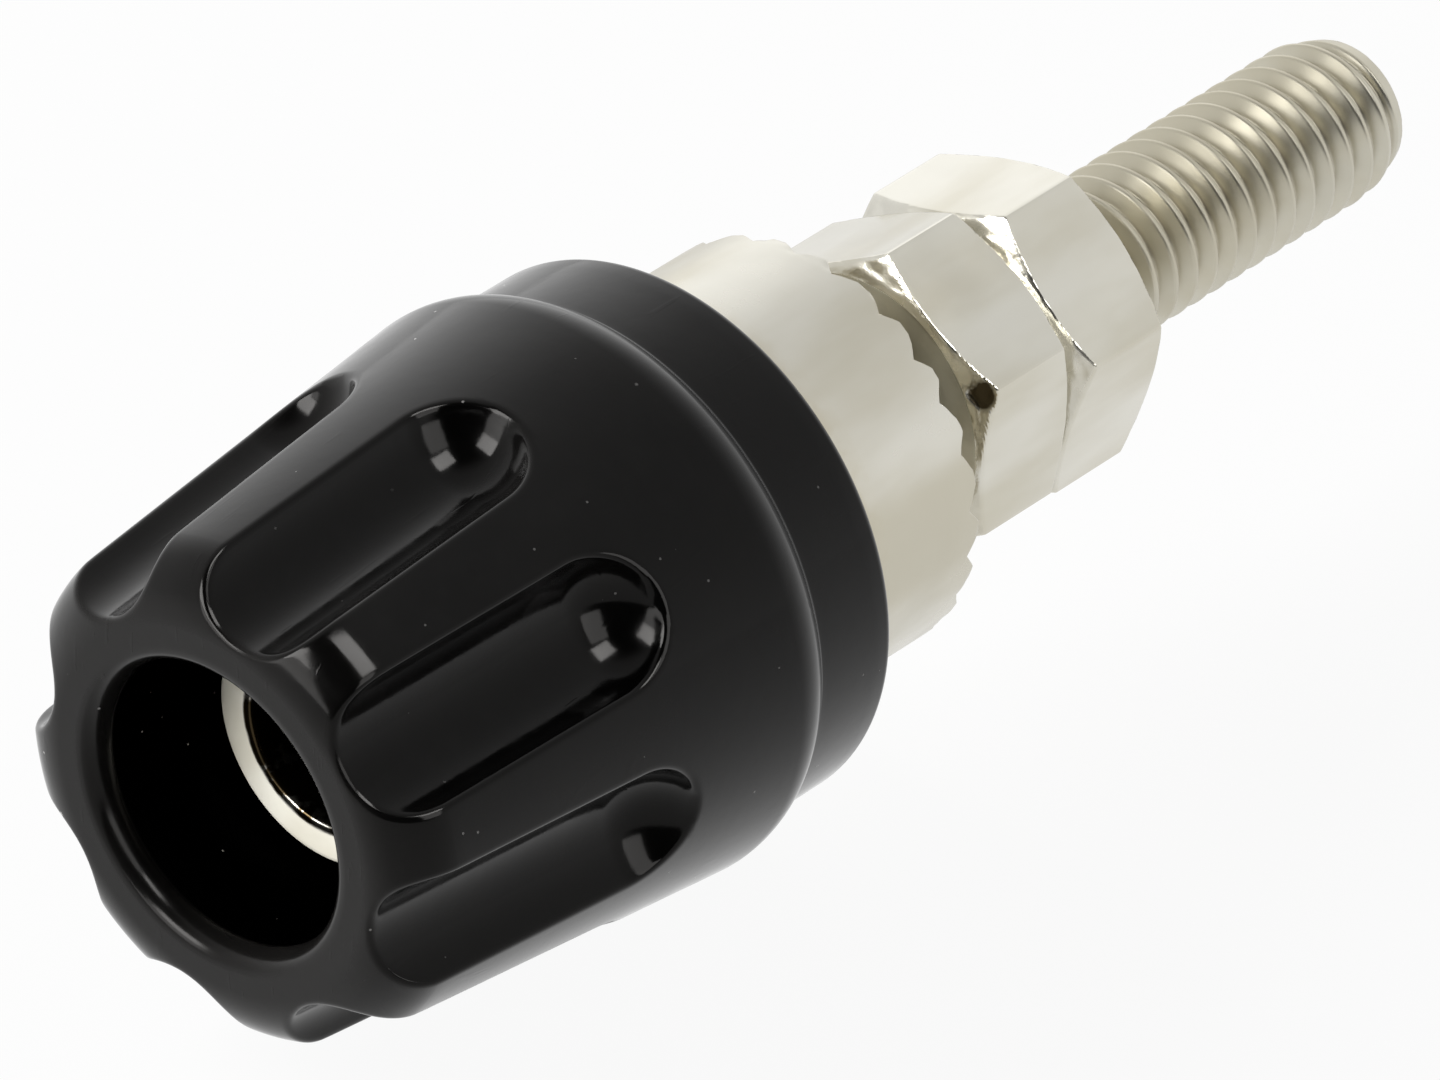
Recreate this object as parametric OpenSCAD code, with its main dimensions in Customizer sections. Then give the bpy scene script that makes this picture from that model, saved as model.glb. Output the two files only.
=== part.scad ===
// Panel binding post: a fluted screw cap, a 4 mm plug socket, a toothed collar that bites
// into the panel, and an M4 stud behind it with a fixing nut and a lock nut.
// The axis lies along Y: the cap faces -Y and the stud points to +Y, as on an upright panel.
// The origin is on the axis, in the plane of the collar's tooth tips.

/* [Cap] */
// Length of the cap from its front face to the rear edge of its skirt
cap_len = 14.8; // [12.5:0.1:20]
// Diameter that the tapered side would have at the front face
cap_front_d = 11.7; // [11:0.1:12.8]
// Diameter of the widest ridge
ridge_d = 13.9; // [12:0.1:16]
// Radius of the ridge's rounded rear
ridge_round = 1.35; // [0.8:0.05:1.6]
// Fillet radius at the foot of the ridge
ridge_fillet = 0.15; // [0.05:0.01:0.3]
// Length of the plain skirt behind the ridge
skirt_len = 2.35; // [1:0.05:3]
// Diameter of the plain skirt
skirt_d = 13; // [12:0.1:14]
// Edge radius at the rear of the skirt
skirt_round = 0.25; // [0.1:0.05:0.5]
// Length of the collar's front that the skirt covers
skirt_overlap = 1.05; // [0.5:0.05:2]
// Outer diameter of the flat ring on the front face
ring_d = 9.7; // [8.8:0.1:10.4]
// Depth of the bevel between the front ring and the tapered side
bevel_len = 0.95; // [0.5:0.05:1.5]
// Bulge of the bevel
bevel_bulge = 0.1; // [0.05:0.05:0.2]
// Diameter of the mouth at the front face
mouth_d = 7.6; // [7:0.05:8]
// Depth of the chamfer inside the mouth
mouth_chamfer = 0.6; // [0.3:0.05:1.2]
// Diameter of the hole through the front of the cap
cap_bore_d = 6.86; // [6.3:0.02:6.95]

/* [Flutes] */
// Number of flutes around the cap
flute_count = 8; // [5:1:9]
// Radius of a flute's round section
flute_r = 1.7; // [1.4:0.05:1.9]
// Depth of a flute below the tapered side
flute_depth = 1.2; // [0.6:0.05:1.3]
// Distance from the front face to a flute's round rear end
flute_len = 8.3; // [5:0.1:9.2]
// Angle of the first flute from the horizontal
flute_turn = 34.75; // [0:0.25:45]

/* [Bush] */
// Outer diameter of the threaded bush in the cap
bush_d = 8; // [7.4:0.1:8.6]
// Length of the bush
bush_len = 7.05; // [4:0.05:8]
// Chamfer on the bush's outer edges
bush_chamfer = 0.3; // [0.1:0.05:0.5]
// Length of the bush that stands out of its seat in the cap
bush_proud = 0.1; // [0:0.05:0.3]

/* [Post] */
// Outside diameter of the threaded barrel
barrel_d = 5.9; // [5.3:0.05:6.2]
// Distance from the cap's front face back to the socket face
socket_setback = 3.5; // [2:0.1:5]
// Diameter of the plug socket
socket_d = 4; // [3.8:0.05:4.2]
// Depth of the socket from its face to the start of the drill point
socket_depth = 12.5; // [9:0.1:13]
// Point angle of the drill that makes the socket
drill_angle = 118; // [90:1:140]
// Chamfer at the socket's edge
socket_chamfer = 0.13; // [0.05:0.01:0.3]
// Chamfer at the barrel's front edge
barrel_chamfer = 0.15; // [0.05:0.05:0.3]
// Diameter of the plain neck behind the thread
neck_d = 5; // [4.8:0.1:5.2]
// Length of the neck
neck_len = 2.75; // [2.6:0.05:4]
// Diameter of the cross hole for a wire
wire_hole_d = 2.2; // [1.2:0.1:2.3]

/* [Collar] */
// Diameter of the collar
collar_d = 9.96; // [9.2:0.02:10.4]
// Length of the collar from its front face to the tooth tips
collar_len = 5.75; // [4.5:0.05:8]
// Chamfer at the collar's front edge
collar_chamfer = 0.2; // [0.05:0.05:0.4]
// Number of teeth on the rear rim
tooth_count = 25; // [16:1:30]
// Depth of the notches between the teeth
tooth_depth = 0.35; // [0.2:0.05:0.45]
// Angle of the first notch from the horizontal
tooth_turn = 5.75; // [0:0.25:22.5]
// Width of a tooth's flat tip at the collar's outside
tooth_tip = 0.2; // [0.18:0.02:0.5]
// Width of the toothed rim
rim_w = 0.6; // [0.4:0.05:1.2]
// Depth of the relief inside the rim
rim_relief = 0.5; // [0.46:0.02:1]

/* [Stud] */
// Diameter of the stud
stud_d = 3.98; // [3.5:0.02:4.2]
// Length of the stud from the tooth tips to its end
stud_len = 19.05; // [14:0.05:30]
// Length of one turn of the stud's thread
thread_pitch = 0.7; // [0.5:0.05:1]
// Depth of the grooves that stand for the thread
thread_cut = 0.36; // [0.1:0.02:0.4]
// Diameter of the stud's end face
stud_end_d = 3.3; // [2.4:0.1:3.4]
// Length of the taper at the stud's end
stud_end_len = 1; // [0.4:0.1:2]

/* [Nuts] */
// Width across the flats of a nut
nut_af = 6.8; // [6.4:0.05:8]
// Thickness of a nut
nut_thick = 3.05; // [2:0.05:4]
// Diameter of the flat circle that the chamfer leaves on a nut's faces
nut_face_d = 6.46; // [5.6:0.02:6.5]
// Angle of the chamfer on a nut's corners
nut_chamfer_angle = 30; // [15:1:35]
// Diameter of the countersinks in a nut
nut_sink_d = 4.5; // [4.3:0.05:5]
// Distance from the tooth tips to the fixing nut, filled by the panel in use
panel_gap = 1.95; // [0.5:0.05:4]
// Gap between the two nuts
nut_gap = 0.04; // [0.02:0.01:1]
// Angle of the fixing nut's first corner from the horizontal
panel_nut_turn = 25.3; // [0:0.1:60]
// Angle of the lock nut's first corner from the horizontal
lock_nut_turn = 13.4; // [0:0.1:60]

/* [Clearances] */
// Radial gap between mating threads
thread_play = 0.03; // [0.02:0.01:0.1]
// Gap between the bush and its seat in the cap
bush_play = 0.02; // [0.01:0.01:0.1]
// Radial gap between the collar and the cap's rear recess
collar_play = 0.2; // [0.1:0.05:0.4]
// Radial gap between the post and the collar around it
core_play = 0.01; // [0.01:0.01:0.03]
// Gap between the bush and the collar when the cap is screwed home
seat_gap = 0.05; // [0.02:0.01:0.3]

/* [Hidden] */
$fn = 96;
// Overlap that carries a cutter clear of the surface it cuts
cut = 0.5;
arc_steps = 6;
// Shares of a thread's pitch that its crest and its root take
crest_share = 0.2;
root_share = 0.16;

// Heights along the axis, from the tooth tips towards the front
bush_rear = collar_len + seat_gap;
bush_front = bush_rear + bush_len;
cap_rear = collar_len - skirt_overlap;
cap_front = cap_rear + cap_len;
recess_floor = bush_rear + bush_proud;
socket_face = cap_front - socket_setback;
socket_end = socket_face - socket_depth;
drill_tip = socket_end - socket_d / 2 / tan(drill_angle / 2);
neck_front = collar_len + neck_len;
wire_hole_at = collar_len + neck_len / 2;
panel_nut_rear = -panel_gap - nut_thick;
lock_nut_rear = panel_nut_rear - nut_gap - nut_thick;

// The ridge's rear and the fillet at its foot are two arcs that touch at foot_turn, on one line
// of centres; ridge_way is 1 where they step in to the skirt, and -1 where they step out to it
ridge_foot = ridge_round + ridge_fillet;
ridge_drop = (ridge_d - skirt_d) / 2;
ridge_way = sign(ridge_drop);
foot_turn = acos(max(1 - abs(ridge_drop) / ridge_foot, 0));

// The tapered side, by its depth behind the front face
ridge_at = cap_len - skirt_len - ridge_foot * sin(foot_turn);
taper = (ridge_d - cap_front_d) / 2 / ridge_at;
taper_angle = atan(taper);
function side_r(depth) = cap_front_d / 2 + taper * depth;
function behind_front(r, depth) = [r, cap_front - depth];

nut_bore_d = stud_d + 2 * thread_play;
copper_gold = "#b5894a";
nickel = "#c8c0aa";
jet_black = "#141414";

// Points of an arc that starts at the radius r along the axis and turns inwards (way 1) or
// outwards (way -1) on its way to the rear, up to the angle end
function rear_round(r, depth, radius, end, way = 1) = [
    for (i = [0:arc_steps])
        let (turn = end * i / arc_steps)
        behind_front(r - way * radius * (1 - cos(turn)), depth + radius * sin(turn))
];

// Points of the fillet that turns from the foot of the ridge to the skirt
function foot_fillet() = [
    for (i = [1:arc_steps])
        let (turn = foot_turn * (1 - i / arc_steps))
        behind_front(
            skirt_d / 2 + ridge_way * ridge_fillet * (1 - cos(turn)),
            cap_len - skirt_len - ridge_fillet * sin(turn)
        )
];

// Points of the stud's side: ring grooves at the thread's pitch
function thread_points() =
    let (
        crest = thread_pitch * crest_share,
        root = thread_pitch * root_share,
        flank = (thread_pitch - crest - root) / 2,
        turns = floor((rim_relief + stud_len - stud_end_len - crest) / thread_pitch),
        root_r = stud_d / 2 - thread_cut
    )
    [
        for (i = [0:turns - 1])
            let (top = rim_relief - crest - i * thread_pitch)
            each [
                [stud_d / 2, top],
                [root_r, top - flank],
                [root_r, top - flank - root],
                [stud_d / 2, top - 2 * flank - root]
            ]
    ];

// Points of the bulged bevel from the front ring to the tapered side
function bevel_points() =
    let (
        rise = side_r(bevel_len) - ring_d / 2,
        chord = sqrt(rise * rise + bevel_len * bevel_len)
    )
    [
        for (i = [0:arc_steps])
            let (
                share = i / arc_steps,
                swell = 4 * bevel_bulge * share * (1 - share)
            )
            behind_front(
                ring_d / 2 + rise * share + swell * bevel_len / chord,
                bevel_len * share - swell * rise / chord
            )
    ];

// Turns a shape made along +Z, front up, so that its front faces -Y
module along_axis() {
    rotate([90, 0, 0]) children();
}

// One flute's cutter: a round bar parallel to the tapered side, with a ball at its rear end
module flute_cutter() {
    end_depth = flute_len - flute_r;
    end_r = side_r(end_depth) + (flute_r - flute_depth) / cos(taper_angle);
    translate([end_r, 0, cap_front - end_depth]) {
        sphere(r = flute_r);
        rotate([0, -taper_angle, 0]) cylinder(r = flute_r, h = flute_len + cut);
    }
}

// The moulded cap as a ring: the side outside, the mouth, bush seat and recess inside
module cap_blank() {
    rotate_extrude()
        polygon(concat(
            bevel_points(),
            rear_round(ridge_d / 2, ridge_at, ridge_round, foot_turn, ridge_way),
            foot_fillet(),
            rear_round(skirt_d / 2, cap_len - skirt_round, skirt_round, 90),
            [
                [collar_d / 2 + collar_play, cap_rear],
                [collar_d / 2 + collar_play, recess_floor],
                [bush_d / 2 + bush_play, recess_floor],
                [bush_d / 2 + bush_play, bush_front + bush_play],
                [cap_bore_d / 2, bush_front + bush_play],
                behind_front(cap_bore_d / 2, mouth_chamfer),
                behind_front(mouth_d / 2, 0)
            ]
        ));
}

module knob_cap() {
    color(jet_black) along_axis()
        difference() {
            cap_blank();
            for (i = [0:flute_count - 1])
                rotate([0, 0, flute_turn + 360 * i / flute_count]) flute_cutter();
        }
}

module knob_bush() {
    inner = barrel_d / 2 + thread_play;
    outer = bush_d / 2;
    color(copper_gold) along_axis()
        rotate_extrude()
            polygon([
                [inner, bush_rear],
                [outer - bush_chamfer, bush_rear],
                [outer, bush_rear + bush_chamfer],
                [outer, bush_front - bush_chamfer],
                [outer - bush_chamfer, bush_front],
                [inner, bush_front]
            ]);
}

// Barrel and neck as one turning with the drilled socket; the neck runs on through the collar
module post_turning() {
    rotate_extrude()
        polygon([
            [0, drill_tip],
            [socket_d / 2, socket_end],
            [socket_d / 2, socket_face - socket_chamfer],
            [socket_d / 2 + socket_chamfer, socket_face],
            [barrel_d / 2 - barrel_chamfer, socket_face],
            [barrel_d / 2, socket_face - barrel_chamfer],
            [barrel_d / 2, neck_front],
            [neck_d / 2, neck_front],
            [neck_d / 2, rim_relief],
            [0, rim_relief]
        ]);
}

// The collar as a ring around the neck, with a raised rim at its rear
module collar_turning() {
    inner = neck_d / 2 + core_play;
    outer = collar_d / 2;
    rotate_extrude()
        polygon([
            [inner, collar_len],
            [outer - collar_chamfer, collar_len],
            [outer, collar_len - collar_chamfer],
            [outer, 0],
            [outer - rim_w, 0],
            [outer - rim_w, rim_relief],
            [inner, rim_relief]
        ]);
}

// One V notch across the collar's rim, pointing out along +X
module rim_notch() {
    half_w = (PI * collar_d / tooth_count - tooth_tip) / 2;
    translate([collar_d / 2 - rim_w - cut, 0, 0])
        rotate([90, 0, 90])
            linear_extrude(rim_w + 2 * cut)
                polygon([
                    [-half_w, 0],
                    [-half_w, -cut],
                    [half_w, -cut],
                    [half_w, 0],
                    [0, tooth_depth]
                ]);
}

module contact_post() {
    color(nickel) along_axis()
        difference() {
            post_turning();
            translate([-collar_d / 2, 0, wire_hole_at])
                rotate([0, 90, 0]) cylinder(d = wire_hole_d, h = collar_d);
        }
}

module panel_collar() {
    color(nickel) along_axis()
        difference() {
            collar_turning();
            for (i = [0:tooth_count - 1])
                rotate([0, 0, tooth_turn + 360 * i / tooth_count]) rim_notch();
        }
}

// The stud, seated on the rear end of the post
module fixing_stud() {
    color(nickel) along_axis()
        rotate_extrude()
            polygon(concat(
                [
                    [0, rim_relief],
                    [stud_d / 2, rim_relief]
                ],
                thread_points(),
                [
                    [stud_d / 2, stud_end_len - stud_len],
                    [stud_end_d / 2, -stud_len],
                    [0, -stud_len]
                ]
            ));
}

// A nut standing on its rear face, with chamfered corners and a countersunk hole
module hex_nut() {
    corner_r = nut_af / 2 / cos(30);
    corner_drop = (corner_r - nut_face_d / 2) * tan(nut_chamfer_angle);
    sink = (nut_sink_d - nut_bore_d) / 2;
    difference() {
        intersection() {
            cylinder(r = corner_r, h = nut_thick, $fn = 6);
            rotate_extrude()
                polygon([
                    [0, 0],
                    [nut_face_d / 2, 0],
                    [corner_r, corner_drop],
                    [corner_r, nut_thick - corner_drop],
                    [nut_face_d / 2, nut_thick],
                    [0, nut_thick]
                ]);
        }
        translate([0, 0, -cut]) cylinder(d = nut_bore_d, h = nut_thick + 2 * cut);
        cylinder(d1 = nut_sink_d, d2 = nut_bore_d, h = sink);
        translate([0, 0, nut_thick - sink]) cylinder(d1 = nut_bore_d, d2 = nut_sink_d, h = sink);
    }
}

module panel_nut() {
    color(nickel) along_axis()
        translate([0, 0, panel_nut_rear]) rotate([0, 0, panel_nut_turn]) hex_nut();
}

module lock_nut() {
    color(nickel) along_axis()
        translate([0, 0, lock_nut_rear]) rotate([0, 0, lock_nut_turn]) hex_nut();
}

knob_cap();
knob_bush();
contact_post();
panel_collar();
fixing_stud();
panel_nut();
lock_nut();
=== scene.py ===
"""Looks of a panel binding post: a fluted black cap, a plug socket, a toothed collar, a stud and nuts.

Shapes are worked out in millimetres in the shared frame: the axis lies along Y, the cap faces -Y,
and an angle around the axis is counted from +X towards +Z. Meshes are stored in metres.
"""

import logging
import math
from dataclasses import dataclass
from enum import Enum

import bmesh
import bpy
import numpy as np
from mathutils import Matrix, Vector


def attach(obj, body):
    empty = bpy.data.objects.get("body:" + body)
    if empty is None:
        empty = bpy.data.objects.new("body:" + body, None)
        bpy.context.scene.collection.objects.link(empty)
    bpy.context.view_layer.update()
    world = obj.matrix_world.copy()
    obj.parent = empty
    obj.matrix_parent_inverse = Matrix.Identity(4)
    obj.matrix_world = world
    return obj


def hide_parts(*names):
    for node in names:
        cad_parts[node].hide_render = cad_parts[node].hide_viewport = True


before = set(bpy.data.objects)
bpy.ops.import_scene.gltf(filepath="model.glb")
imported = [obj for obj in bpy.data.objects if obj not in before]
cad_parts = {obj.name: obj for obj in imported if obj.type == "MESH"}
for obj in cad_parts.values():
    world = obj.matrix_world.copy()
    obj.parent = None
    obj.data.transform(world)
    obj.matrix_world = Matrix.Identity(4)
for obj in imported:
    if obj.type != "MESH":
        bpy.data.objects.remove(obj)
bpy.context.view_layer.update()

LOG = logging.getLogger("binding_post")
MM = 0.001
TURN = 2.0 * math.pi
# Radius of the last row of points before a pole, in mm.
POLE_R = 0.3
# Distance from an edge of the row of points that holds it, in mm.
EDGE_GAP = 0.1
# Points closer together than this are one point, in mm.
SAME_POINT = 1e-5

Piece = bpy.types.Object
Socket = bpy.types.NodeSocket
Colour = tuple[float, float, float]
Span = tuple[float, float]
Value = Socket | float | tuple[float, ...]


class Body(Enum):
    """The bodies that pieces ride on."""

    POST = "post"
    KNOB = "knob"
    PANEL_NUT = "panel_nut"
    LOCK_NUT = "lock_nut"


class Slot(Enum):
    """The record's material slots."""

    BLACK_PLASTIC = "black_plastic"
    BARE_BRASS = "bare_brass"
    NICKEL_POST = "nickel_post"
    NICKEL_NUT = "nickel_nut"


class Ends(Enum):
    """How the rows of a surface close: into a ring, or each end to a pole on the axis."""

    RING = "ring"
    POLES = "poles"


class Easing(Enum):
    """How a ramp of the node tree runs between its ends."""

    SMOOTH = "SMOOTHSTEP"
    STRAIGHT = "LINEAR"


def smooth_max(a: np.ndarray, b: np.ndarray, blend: float) -> np.ndarray:
    """The larger of two fields, rounded where they are closer than blend.

    Formula: max(a, b) + blend / 4 * h * h, with h = 1 - |a - b| / blend, not below 0.

    Args:
        a: First field.
        b: Second field.
        blend: Width of the rounding.

    Returns:
        The blended field.
    """
    near = np.maximum(1.0 - np.abs(a - b) / blend, 0.0)
    return np.maximum(a, b) + 0.25 * blend * near * near


def smooth_min(a: np.ndarray, b: np.ndarray, blend: float) -> np.ndarray:
    """The smaller of two fields, rounded where they are closer than blend."""
    return -smooth_max(-a, -b, blend)


def ease(value: np.ndarray, at: float, span: Span) -> np.ndarray:
    """Cubic ramp t * t * (3 - 2 t), 0 at the span's first end and 1 at its second, counted from at.

    Args:
        value: The field that is ramped.
        at: Where the span is counted from.
        span: Its two ends; the second may be the lower one.

    Returns:
        Values from 0 to 1.
    """
    low, high = at + span[0], at + span[1]
    t = np.clip((value - low) / (high - low), 0.0, 1.0)
    return t * t * (3.0 - 2.0 * t)


@dataclass(frozen=True)
class Waves:
    """Smooth irregularity around the axis: the seed, the number and the finest of its waves."""

    seed: int
    count: int
    finest: int

    def at(self, a: np.ndarray, y: np.ndarray) -> np.ndarray:
        """Height of the waves, which close around the axis.

        Formula: the sum of cosines cos(n a + k y + phase), with n a whole number up to finest,
        over the root of their number.

        Args:
            a: Angles around the axis.
            y: Places along the axis, in mm.

        Returns:
            Values of about -1 to 1, in the shape that a and y broadcast to.
        """
        draw = np.random.default_rng(self.seed)
        around = draw.integers(-self.finest, self.finest + 1, self.count)
        along = draw.uniform(-0.5, 0.5, self.count) * self.finest
        phase = draw.uniform(0.0, TURN, self.count)
        a, y = np.broadcast_arrays(a, y)
        terms = np.cos(a[..., None] * around + y[..., None] * along + phase)
        return terms.sum(-1) / math.sqrt(self.count)


@dataclass(frozen=True)
class ThreadForm:
    """A thread's pitch and depth in mm, and its crest, root and corners as shares of the two."""

    pitch: float
    depth: float
    crest: float
    root: float
    corner: float

    def cut(self, turns: np.ndarray) -> np.ndarray:
        """How deep the thread is cut at a height along it.

        Formula: a straight flank, rounded off at the corners against 0 on the crest, which takes
        its share of the pitch, and 1 on the root.

        Args:
            turns: Height along the thread in pitches; only its fraction counts.

        Returns:
            Share of the depth, from 0 to about 1.
        """
        from_root = np.abs(turns - np.floor(turns) - 0.5)
        flank_end = 0.5 - 0.5 * self.crest
        flank = (flank_end - from_root) / (flank_end - 0.5 * self.root)
        below = smooth_min(flank, np.ones_like(flank), self.corner)
        return smooth_max(below, np.zeros_like(flank), self.corner)


def arc(r: float, y: float, radius: float, start: float, stop: float, steps: int) -> np.ndarray:
    """Profile points (r, y) of an arc around (r, y), its angle counted from +r towards +y.

    Args:
        r: Radius from the axis of the arc's centre.
        y: Place along the axis of the arc's centre.
        radius: Radius of the arc.
        start: First angle, in degrees.
        stop: Last angle, in degrees.
        steps: Number of steps.

    Returns:
        An array of steps + 1 rows.
    """
    t = np.radians(np.linspace(start, stop, steps + 1))
    return np.stack([r + radius * np.cos(t), y + radius * np.sin(t)], -1)


def line(start: Span, stop: Span, steps: int) -> np.ndarray:
    """Profile points (r, y) on a straight line, both ends included."""
    return np.linspace(start, stop, steps + 1)


def angles(columns: int) -> np.ndarray:
    """Angles of so many even columns around the axis."""
    return TURN * np.arange(columns) / columns


def around_axis(r: np.ndarray, y: np.ndarray, a: np.ndarray) -> np.ndarray:
    """Points of a surface around the axis: (r cos a, y, r sin a), in mm."""
    r, y, a = np.broadcast_arrays(r, y, a)
    return np.stack([r * np.cos(a), y, r * np.sin(a)], -1)


def turned(profile: np.ndarray, a: np.ndarray) -> np.ndarray:
    """A profile of rows (r, y) carried around the axis through the angles a, in mm."""
    return around_axis(profile[:, :1], profile[:, 1:], a[None, :])


def soften(mesh: bpy.types.Mesh, crease: float) -> None:
    """Shades a mesh smooth, with sharp edges past an angle in degrees."""
    mesh.shade_smooth()
    mesh.set_sharp_from_angle(angle=math.radians(crease))


def surface(
    name: str, rows: np.ndarray, ends: Ends, crease: float, climb: int | np.ndarray = 0
) -> Piece:
    """Makes an object from a grid of points: rows of a profile, columns around the axis.

    Args:
        name: Name of the piece.
        rows: Points in mm, as (rows, columns, 3). Columns always close around the axis.
        ends: Whether the rows close into a ring or run to poles.
        crease: Angle in degrees past which an edge is sharp.
        climb: Rows by which the grid, or each row of it, climbs in one turn, as on a thread.

    Returns:
        The object, with its faces pointing outwards.
    """
    count, columns, _ = rows.shape
    points = rows.reshape(-1, 3)
    index = np.arange(count * columns).reshape(count, columns)
    beside = np.roll(index, -1, axis=1)
    beside[:, -1] = index[np.clip(np.arange(count) - climb, 0, count - 1), 0]
    if ends is Ends.RING:
        lower, upper = index, np.roll(index, -1, axis=0)
        lower_beside, upper_beside = beside, np.roll(beside, -1, axis=0)
    else:
        lower, upper = index[:-1], index[1:]
        lower_beside, upper_beside = beside[:-1], beside[1:]
    quads = np.stack([lower, lower_beside, upper_beside, upper], -1).reshape(-1, 4)
    fans = np.empty((0, 3), int)
    if ends is Ends.POLES:
        first, last = len(points), len(points) + 1
        points = np.vstack([points, rows[0].mean(0), rows[-1].mean(0)])
        start, stop = index[0], index[-1]
        fans = np.vstack([
            np.stack([np.roll(start, -1), start, np.full(columns, first)], -1),
            np.stack([stop, np.roll(stop, -1), np.full(columns, last)], -1),
        ])
    halves = np.vstack([quads[:, [0, 1, 2]], quads[:, [0, 2, 3]], fans])
    corner = points[halves]
    volume = np.einsum("ij,ij->", corner[:, 0], np.cross(corner[:, 1], corner[:, 2]))
    if volume < 0.0:
        quads, fans = quads[:, ::-1], fans[:, ::-1]
    loops = np.concatenate([quads.ravel(), fans.ravel()])
    totals = np.concatenate([np.full(len(quads), 4), np.full(len(fans), 3)])
    mesh = bpy.data.meshes.new(name)
    mesh.vertices.add(len(points))
    mesh.vertices.foreach_set("co", (points * MM).astype(np.float32).ravel())
    mesh.loops.add(len(loops))
    mesh.loops.foreach_set("vertex_index", loops.astype(np.int32))
    mesh.polygons.add(len(totals))
    mesh.polygons.foreach_set("loop_start", (np.cumsum(totals) - totals).astype(np.int32))
    mesh.update(calc_edges=True)
    mesh.validate()
    soften(mesh, crease)
    piece = bpy.data.objects.new(name, mesh)
    bpy.context.scene.collection.objects.link(piece)
    return piece


def paint(piece: Piece, name: str, values: np.ndarray) -> None:
    """Stores one value for each point of a grid as an attribute; poles get 0.

    Args:
        piece: A piece made by surface().
        name: Name of the attribute.
        values: One value for each point, as (rows, columns).
    """
    flat = np.zeros(len(piece.data.vertices), np.float32)
    flat[: values.size] = values.ravel()
    piece.data.attributes.new(name, "FLOAT", "POINT").data.foreach_set("value", flat)


def weld(piece: Piece, crease: float) -> None:
    """Merges points of a piece that lie on each other, and the faces between them.

    Args:
        piece: The piece.
        crease: Angle in degrees past which an edge is sharp.
    """
    merged = bmesh.new()
    merged.from_mesh(piece.data)
    bmesh.ops.remove_doubles(merged, verts=merged.verts, dist=SAME_POINT * MM)
    merged.to_mesh(piece.data)
    merged.free()
    soften(piece.data, crease)


def place(piece: Piece, body: Body, node: str, finish: bpy.types.Material) -> None:
    """Gives a piece its finish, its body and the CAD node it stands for.

    Args:
        piece: The piece.
        body: The body that it rides on.
        node: The CAD node that it replaces.
        finish: Its material.
    """
    piece.data.materials.append(finish)
    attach(piece, body.value)
    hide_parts(node)
    LOG.info("%s: %d faces on %s", piece.name, len(piece.data.polygons), body.value)


class NodeTree:
    """A node tree, with short calls for the nodes that finishes, floor and sky share."""

    def __init__(self, tree: bpy.types.NodeTree) -> None:
        """Takes hold of the tree of a material or a world."""
        self.nodes, self.links = tree.nodes, tree.links

    def put(self, node: bpy.types.Node, socket: str | int, value: Value) -> None:
        """Links an input of a node, or sets a plain value on it.

        Args:
            node: The node.
            socket: Name or number of the input.
            value: Another node's output, or the plain value.
        """
        if isinstance(value, Socket):
            self.links.new(value, node.inputs[socket])
        else:
            node.inputs[socket].default_value = value

    def add(
        self, kind: str, inputs: dict[str | int, Value] | None = None, **choices: str
    ) -> bpy.types.Node:
        """Adds a node.

        Args:
            kind: The kind of shader node, such as Math.
            inputs: What its inputs get, by name or number.
            choices: The node's own settings, made before its inputs.

        Returns:
            The node.
        """
        node = self.nodes.new("ShaderNode" + kind)
        for name, choice in choices.items():
            setattr(node, name, choice)
        for socket, value in (inputs or {}).items():
            self.put(node, socket, value)
        return node

    def math(self, operation: str, first: Socket, second: Socket | float) -> Socket:
        """One Math node; its second term is a socket or a plain number."""
        return self.add("Math", {0: first, 1: second}, operation=operation).outputs[0]

    def ramp(
        self,
        source: Socket,
        low: float,
        high: float,
        to_low: float = 0.0,
        to_high: float = 1.0,
        easing: Easing = Easing.SMOOTH,
    ) -> Socket:
        """Maps a value from one range to another and holds it at the ends.

        Args:
            source: The value.
            low: Start of its range.
            high: End of its range.
            to_low: What low becomes.
            to_high: What high becomes.
            easing: How it runs between the two.

        Returns:
            The mapped value.
        """
        ends = {0: source, 1: low, 2: high, 3: to_low, 4: to_high}
        return self.add("MapRange", ends, interpolation_type=easing.value).outputs["Result"]

    def seen_directly(self) -> Socket:
        """1 for rays from the camera, a reflection or a transmission, and 0 for light on surfaces.

        Returns:
            The value.
        """
        path = self.add("LightPath").outputs
        either = self.math("MAXIMUM", path["Is Camera Ray"], path["Is Glossy Ray"])
        return self.math("MAXIMUM", either, path["Is Transmission Ray"])


@dataclass(frozen=True)
class Cloud:
    """A noise pattern: its cells a metre and octaves, the range of it that is spread over another,
    and the scale of its axes.
    """

    scale: float
    detail: float
    spread: Span | None = None
    stretch: tuple[float, float, float] = (1.0, 1.0, 1.0)


@dataclass(frozen=True)
class Specks:
    """Round specks in some cells of a pattern: its cells a metre, the radius of a speck as a share
    of a cell, and the share of the cells that hold one.
    """

    scale: float
    size: float
    share: float


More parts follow.
